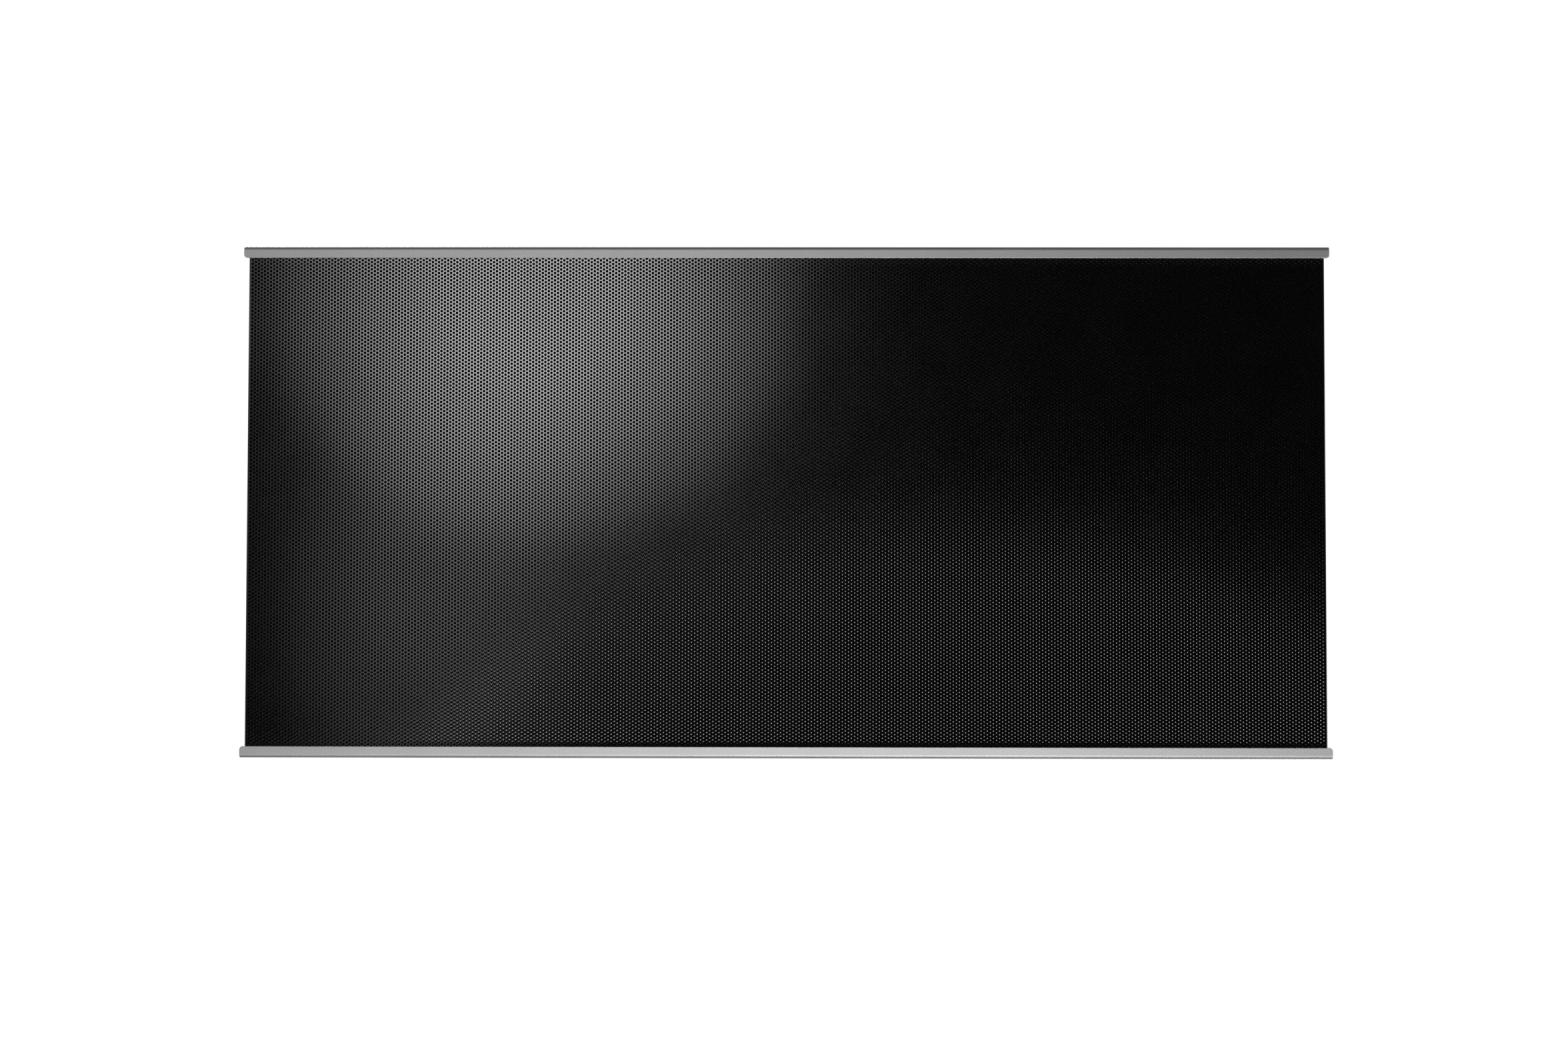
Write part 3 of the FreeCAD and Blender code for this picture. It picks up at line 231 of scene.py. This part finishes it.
def buildFloor(floorPlan):
    clearPick()
    bpy.ops.mesh.primitive_plane_add(size=floorPlan["size"], location=(0, 0, floorPlan["height"]))
    floor = bpy.context.object
    floor.name = "studio_floor"
    finish, tree, spot = startFinish("matt_floor_paint")
    cloud = addNode(tree, "TexNoise", {"Vector": spot, "Scale": perMm(900), "Detail": 3.0}).outputs["Fac"]
    colour = addNode(tree, "Mix", {
        "Factor": cloud, "A": linear("f1f1ef"), "B": linear("f6f6f4"),
    }, data_type="RGBA").outputs["Result"]
    seen = addNode(tree, "LightPath", {}).outputs["Is Camera Ray"]
    lift = addNode(tree, "Math", {0: seen, 1: floorPlan["lift"]}, operation="MULTIPLY").outputs["Value"]
    shader = addNode(tree, "BsdfPrincipled", {
        "Base Color": colour, "Roughness": 0.8,
        "Emission Color": (1, 1, 1, 1), "Emission Strength": lift,
    })
    endFinish(tree, shader)
    floor.data.materials.append(finish)
    floor.visible_glossy = False  # the face mirrors a dark room instead


# Finishes

def blackEnamel():
    # Fired black enamel: a deep black with a soft mirror, faintly uneven where the glaze pooled
    finish, tree, spot = startFinish("fired_black_enamel")
    pool = addNode(tree, "TexNoise", {"Vector": spot, "Scale": perMm(55), "Detail": 3.0}).outputs["Fac"]
    peel = addNode(tree, "TexNoise", {"Vector": spot, "Scale": perMm(2.5), "Detail": 1.0}).outputs["Fac"]
    bump = addNode(tree, "Bump", {"Height": peel, "Strength": 0.12, "Distance": 0.00005}).outputs["Normal"]
    colour = addNode(tree, "Mix", {
        "Factor": pool, "A": linear("030303"), "B": linear("070708"),
    }, data_type="RGBA").outputs["Result"]
    gloss = addNode(tree, "MapRange", {"Value": pool, "To Min": 0.12, "To Max": 0.15}).outputs["Result"]
    shader = addNode(tree, "BsdfPrincipled", {
        "Base Color": colour, "Roughness": gloss, "IOR": 1.7, "Normal": bump,
    })
    endFinish(tree, shader)
    return finish


def satinAluminium():
    # Anodised aluminium extrusion: satin grey, with long die lines along the rail
    # real die lines are finer, and are drawn 0.9 mm apart so that they show
    finish, tree, spot = startFinish("satin_anodised_aluminium")
    along = addNode(tree, "Mapping", {"Vector": spot, "Scale": (0.012, 1.0, 1.0)}).outputs["Vector"]
    lines = addNode(tree, "TexNoise", {"Vector": along, "Scale": perMm(0.9), "Detail": 3.0}).outputs["Fac"]
    cloud = addNode(tree, "TexNoise", {"Vector": spot, "Scale": perMm(70), "Detail": 2.0}).outputs["Fac"]
    bump = addNode(tree, "Bump", {"Height": lines, "Strength": 0.25, "Distance": 0.00004}).outputs["Normal"]
    tone = addNode(tree, "Mix", {"Factor": 0.4, "A": lines, "B": cloud}).outputs["Result"]
    colour = addNode(tree, "Mix", {
        "Factor": tone, "A": linear("a5a5a5"), "B": linear("bfbfbf"),
    }, data_type="RGBA").outputs["Result"]
    gloss = addNode(tree, "MapRange", {"Value": lines, "To Min": 0.54, "To Max": 0.64}).outputs["Result"]
    shader = addNode(tree, "BsdfPrincipled", {
        "Base Color": colour, "Metallic": 1.0, "Roughness": gloss, "Normal": bump,
    })
    endFinish(tree, shader)
    return finish


def galvanisedSteel():
    # Hot-dip galvanised sheet: frosty spangles, each cell a little lighter or darker
    finish, tree, spot = startFinish("galvanised_sheet")
    cells = addNode(tree, "TexVoronoi", {"Vector": spot, "Scale": perMm(11)}).outputs["Color"]
    shade = addNode(tree, "SeparateColor", {"Color": cells}).outputs["Red"]
    frost = addNode(tree, "TexNoise", {"Vector": spot, "Scale": perMm(1.6), "Detail": 4.0}).outputs["Fac"]
    tone = addNode(tree, "Mix", {"Factor": 0.55, "A": shade, "B": frost}).outputs["Result"]
    bump = addNode(tree, "Bump", {"Height": frost, "Strength": 0.2, "Distance": 0.00002}).outputs["Normal"]
    colour = addNode(tree, "Mix", {
        "Factor": tone, "A": linear("a6a9ab"), "B": linear("bbbebf"),
    }, data_type="RGBA").outputs["Result"]
    gloss = addNode(tree, "MapRange", {"Value": shade, "To Min": 0.38, "To Max": 0.48}).outputs["Result"]
    shader = addNode(tree, "BsdfPrincipled", {
        "Base Color": colour, "Metallic": 1.0, "Roughness": gloss, "Normal": bump,
    })
    endFinish(tree, shader)
    return finish


def grainFinish(name, dark, pale, grainMm, depthMm, rough, metal=0.0, cloudMm=45):
    # a fine grain over broad clouds, and no grain finer than 0.7 mm, so that it shows
    finish, tree, spot = startFinish(name)
    grain = addNode(tree, "TexNoise", {
        "Vector": spot, "Scale": perMm(grainMm), "Detail": 2.0,
    }).outputs["Fac"]
    cloud = addNode(tree, "TexNoise", {
        "Vector": spot, "Scale": perMm(cloudMm), "Detail": 3.0,
    }).outputs["Fac"]
    tone = addNode(tree, "Mix", {"Factor": 0.5, "A": grain, "B": cloud}).outputs["Result"]
    bump = addNode(tree, "Bump", {
        "Height": grain, "Strength": 0.5, "Distance": depthMm / 1000,
    }).outputs["Normal"]
    colour = addNode(tree, "Mix", {
        "Factor": tone, "A": linear(dark), "B": linear(pale),
    }, data_type="RGBA").outputs["Result"]
    gloss = addNode(tree, "MapRange", {
        "Value": tone, "To Min": rough[0], "To Max": rough[1],
    }).outputs["Result"]
    shader = addNode(tree, "BsdfPrincipled", {
        "Base Color": colour, "Metallic": metal, "Roughness": gloss, "Normal": bump,
    })
    endFinish(tree, shader)
    return finish


finishOfSlot = {
    "black_enamel": blackEnamel(),
    "anodised_aluminium": satinAluminium(),
    "galvanised_steel": galvanisedSteel(),
    # Baked powder coat: near black, with a fine orange peel that breaks the highlight
    "black_powder_coat": grainFinish(
        "fine_black_powder_coat", "121315", "212326", 1.1, 0.05, (0.46, 0.6),
    ),
    # Bright zinc plate: silvery, slightly cloudy
    "zinc_steel": grainFinish("bright_zinc_plate", "a9adb0", "cdd0d1", 2.5, 0.01, (0.24, 0.4), 1.0, 9),
    # Turned brass: warm yellow metal, dulled in patches
    "brass": grainFinish("turned_brass", "a8813f", "c9a35c", 1.5, 0.01, (0.25, 0.4), 1.0, 8),
    # Pressed mica: tan flakes with a pearly sheen
    "mica": grainFinish("pressed_mica", "9c8358", "cbb58a", 3.5, 0.03, (0.3, 0.5), 0.0, 20),
    # Rolled resistance foil: dull grey metal
    "resistance_foil": grainFinish(
        "rolled_resistance_foil", "7d7e7e", "9a9b9a", 1.0, 0.005, (0.32, 0.45), 1.0, 25,
    ),
    # Bright rolled aluminium: pale mirror with a soft haze
    "bright_aluminium": grainFinish(
        "bright_rolled_aluminium", "d3d5d6", "e6e7e8", 1.5, 0.005, (0.14, 0.24), 1.0, 60,
    ),
    # Pressed mineral wool: yellowish matted fibre
    "mineral_wool": grainFinish("pressed_mineral_wool", "958452", "c9b884", 1.8, 0.5, (0.85, 0.95)),
    # Moulded phenolic: dark brown, dense, half glossy
    "phenolic": grainFinish("moulded_phenolic", "241a14", "3a2b22", 0.8, 0.01, (0.35, 0.5), 0.0, 6),
    # Silicone sleeve: brick red, rubbery
    "silicone_lead": grainFinish("silicone_sleeve", "6e2a1f", "8c3a2b", 1.2, 0.02, (0.45, 0.6), 0.0, 12),
    # Painted die casting: light grey enamel over a faintly pebbled casting
    "grey_die_cast": grainFinish("painted_die_casting", "84898c", "999ea0", 1.6, 0.06, (0.42, 0.56)),
    # Moulded rubber: matt black
    "black_rubber": grainFinish("moulded_rubber", "0f0f10", "1c1c1d", 0.9, 0.03, (0.7, 0.85), 0.0, 10),
    # Fired steatite: off-white, fine pored ceramic
    "steatite": grainFinish("fired_steatite", "d9d2c1", "ece6d8", 0.7, 0.01, (0.35, 0.5), 0.0, 9),
    # Moulded nylon: black with a fine spark-eroded texture
    "black_nylon": grainFinish(
        "moulded_black_nylon", "131314", "222325", 0.7, 0.04, (0.45, 0.62), 0.0, 12,
    ),
}
print("finishes made,", len(finishOfSlot))

for part in frame["record"]["subparts"]:
    cadMesh = frame["nodes"][part["node"]].data
    cadMesh.materials.clear()
    cadMesh.materials.append(finishOfSlot[part["material_slot"]])


# Emitter face: one dimpled cell, copied over the plate in tiles, with plain edges under the lips, and the
# folded ends
plateLow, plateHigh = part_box("emitter_plate")
emitterFace = {
    "rowPitch": 0.004,
    "columnPitch": 0.003356,
    "rows": 135,
    "tiles": 7,
    "pairsPerTile": 25,
    "rimRadius": 0.00166,
    "rimSides": 8,
    "depth": 0.00104,
    "thickness": 0.0012,
    "bend": 0.001,
    "bendSteps": 4,
    "nearby": 0.00002,  # points closer than this are one
    "creaseAngle": math.radians(28),
}


def pick(piece, kind, test):
    bpy.ops.object.mode_set(mode="EDIT")
    bpy.ops.mesh.select_mode(type=kind)
    bpy.ops.mesh.select_all(action="DESELECT")
    bpy.ops.object.mode_set(mode="OBJECT")
    spots = piece.data.vertices
    if kind == "VERT":
        for vertex in spots:
            vertex.select = test(vertex.co)
    else:
        for edge in piece.data.edges:
            edge.select = all(test(spots[end].co) for end in edge.vertices)
    bpy.ops.object.mode_set(mode="EDIT")


def pickRim(piece, test):
    # open edges only, and of those the ones whose two ends pass the test
    bpy.ops.object.mode_set(mode="EDIT")
    bpy.ops.mesh.select_mode(type="EDGE")
    bpy.ops.mesh.select_all(action="DESELECT")
    bpy.ops.mesh.select_non_manifold(
        extend=False, use_wire=False, use_boundary=True,
        use_multi_face=False, use_non_contiguous=False, use_verts=False,
    )
    bpy.ops.object.mode_set(mode="OBJECT")
    spots = piece.data.vertices
    openEdges = [edge for edge in piece.data.edges if edge.select]
    kept = [edge.index for edge in openEdges if all(test(spots[end].co) for end in edge.vertices)]
    for group in (piece.data.polygons, piece.data.edges, piece.data.vertices):
        for item in group:
            item.select = False
    for index in kept:
        piece.data.edges[index].select = True
        for end in piece.data.edges[index].vertices:
            spots[end].select = True
    bpy.ops.object.mode_set(mode="EDIT")


def array(piece, name, count, step):
    repeat = piece.modifiers.new(name, "ARRAY")
    repeat.count = count
    repeat.use_relative_offset = False
    repeat.use_constant_offset = True
    repeat.constant_offset_displace = step
    bpy.ops.object.modifier_apply(modifier=repeat.name)


def dimpleCell(face):
    # a hexagon with a dimple in it, stretched to the row pitch
    across = face["columnPitch"] * 2 / 3
    stretch = face["rowPitch"] / 2 / (across * math.sin(math.radians(60)))
    halfSide = math.pi / face["rimSides"]
    clearPick()
    bpy.ops.mesh.primitive_circle_add(vertices=6, radius=across, rotation=(0, 0, math.radians(90)))
    cell = bpy.context.object
    bpy.ops.object.transform_apply(location=False, rotation=True, scale=False)
    bpy.ops.object.mode_set(mode="EDIT")
    bpy.ops.mesh.select_all(action="SELECT")
    bpy.ops.transform.resize(value=(1, stretch, 1), center_override=(0, 0, 0))
    bpy.ops.mesh.primitive_circle_add(
        vertices=face["rimSides"], radius=face["rimRadius"], rotation=(0, 0, halfSide),
    )
    bpy.ops.mesh.select_all(action="SELECT")
    bpy.ops.mesh.bridge_edge_loops()
    reach = face["rimRadius"] + face["nearby"]
    pick(cell, "EDGE", lambda spot: spot.xy.length < reach)
    bpy.ops.mesh.edge_face_add()
    bpy.ops.mesh.poke()
    pick(cell, "VERT", lambda spot: spot.xy.length < face["nearby"])
    bpy.ops.transform.translate(value=(0, 0, face["depth"]))
    # the next column stands half a pitch higher
    bpy.ops.mesh.select_all(action="SELECT")
    step = (face["columnPitch"], face["rowPitch"] / 2, 0)
    bpy.ops.mesh.duplicate_move(TRANSFORM_OT_translate={"value": step})
    bpy.ops.object.mode_set(mode="OBJECT")
    return cell


def firstTile(face):
    tile = dimpleCell(face)
    columns = face["tiles"] * face["pairsPerTile"] * 2
    array(tile, "rows", face["rows"], (0, face["rowPitch"], 0))
    array(tile, "pairs", face["pairsPerTile"], (face["columnPitch"] * 2, 0, 0))
    startX = -(columns - 1) / 2 * face["columnPitch"]
    startY = -(face["rows"] - 1) / 2 * face["rowPitch"] - face["rowPitch"] / 4
    bpy.ops.object.mode_set(mode="EDIT")
    bpy.ops.mesh.select_all(action="SELECT")
    bpy.ops.mesh.remove_doubles(threshold=face["nearby"])
    bpy.ops.transform.translate(value=(startX, startY, plateLow.z))
    bpy.ops.object.mode_set(mode="OBJECT")
    return tile


def carryEdge(tile, test, axis, level):
    # draws an open zigzag edge out to a straight one
    pickRim(tile, test)
    bpy.ops.mesh.extrude_region_move(TRANSFORM_OT_translate={"value": (0, 0, 0)})
    flat = [1.0, 1.0, 1.0]
    flat[axis] = 0.0
    middle = [0.0, 0.0, plateLow.z]
    middle[axis] = level
    bpy.ops.transform.resize(value=flat, center_override=middle)
    bpy.ops.object.mode_set(mode="OBJECT")


def closeTile(tile, face):
    # walls up to the plate's back, then the back itself
    pickRim(tile, lambda spot: True)
    bpy.ops.mesh.extrude_region_move(TRANSFORM_OT_translate={"value": (0, 0, face["thickness"])})
    bpy.ops.mesh.edge_face_add()
    bpy.ops.mesh.select_all(action="SELECT")
    bpy.ops.mesh.normals_make_consistent(inside=False)
    bpy.ops.object.mode_set(mode="OBJECT")


def copyOf(piece):
    clearPick()
    piece.select_set(True)
    bpy.context.view_layer.objects.active = piece
    bpy.ops.object.duplicate(linked=False)
    return bpy.context.object


def dress(piece, name, body, slot, *nodes):
    piece.name = name
    piece.data.name = name
    piece.data.materials.clear()
    piece.data.materials.append(finishOfSlot[slot])
    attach(piece, body)
    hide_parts(*nodes)


def buildFace(face):
    pattern = firstTile(face)
    tileWidth = face["pairsPerTile"] * 2 * face["columnPitch"]
    half = face["rows"] * face["rowPitch"] / 2 - face["rowPitch"] / 4
    nearby = face["nearby"]
    third = face["columnPitch"] / 3
    endX = plateHigh.x - face["thickness"]
    patternEnd = face["tiles"] * tileWidth / 2 - face["columnPitch"] / 2 + third
    for number in range(face["tiles"]):
        tile = copyOf(pattern)
        bpy.ops.object.mode_set(mode="EDIT")
        bpy.ops.mesh.select_all(action="SELECT")
        bpy.ops.transform.translate(value=(tileWidth * number, 0, 0))
        bpy.ops.object.mode_set(mode="OBJECT")
        carryEdge(tile, lambda spot: spot.y > half - nearby, 1, plateHigh.y)
        carryEdge(tile, lambda spot: spot.y < -half + nearby, 1, plateLow.y)
        if number == 0:
            carryEdge(tile, lambda spot: spot.x < -patternEnd + nearby, 0, -endX)
        if number == face["tiles"] - 1:
            carryEdge(tile, lambda spot: spot.x > patternEnd - nearby, 0, endX)
        closeTile(tile, face)
        dress(tile, f"emitter_face_{number + 1}", "panel", "black_enamel", "emitter_plate")
        for reach in ("face", "rest"):
            lampReach[reach].objects.link(tile)
    bpy.data.objects.remove(pattern)
    print("emitter face made,", face["tiles"], "tiles")


def buildFold(side, name, face):
    wide = plateHigh.y - plateLow.y
    tall = plateHigh.z - plateLow.z
    middle = ((plateHigh.x - face["thickness"] / 2) * side, 0, (plateHigh.z + plateLow.z) / 2)
    clearPick()
    bpy.ops.mesh.primitive_cube_add(size=1, location=middle, scale=(face["thickness"], wide, tall))
    fold = bpy.context.object
    bpy.ops.object.transform_apply(location=True, rotation=False, scale=True)
    outer = plateHigh.x - face["nearby"]
    pick(fold, "EDGE", lambda spot: spot.x * side > outer and spot.z < plateLow.z + face["nearby"])
    bpy.ops.mesh.bevel(offset=face["bend"], segments=face["bendSteps"])
    bpy.ops.object.mode_set(mode="OBJECT")
    bpy.ops.object.shade_smooth_by_angle(angle=face["creaseAngle"])
    dress(fold, name, "panel", "black_enamel", "emitter_plate")
    lampReach["folds"].objects.link(fold)


buildFace(emitterFace)
buildFold(-1, "emitter_fold_left", emitterFace)
buildFold(1, "emitter_fold_right", emitterFace)
print("folded ends made")

for railName in ("front_rail", "rear_rail"):
    lampReach["rails"].objects.link(frame["nodes"][railName])
for member in lampReach["rest"].collection_objects:
    member.light_linking.link_state = "EXCLUDE"
addCamera(photoCamera)
for lampName, lampPlan in studioLamps.items():
    addLamp(lampName, lampPlan)
buildWorld(studioWorld)
buildFloor(paleFloor)
print("studio ready")
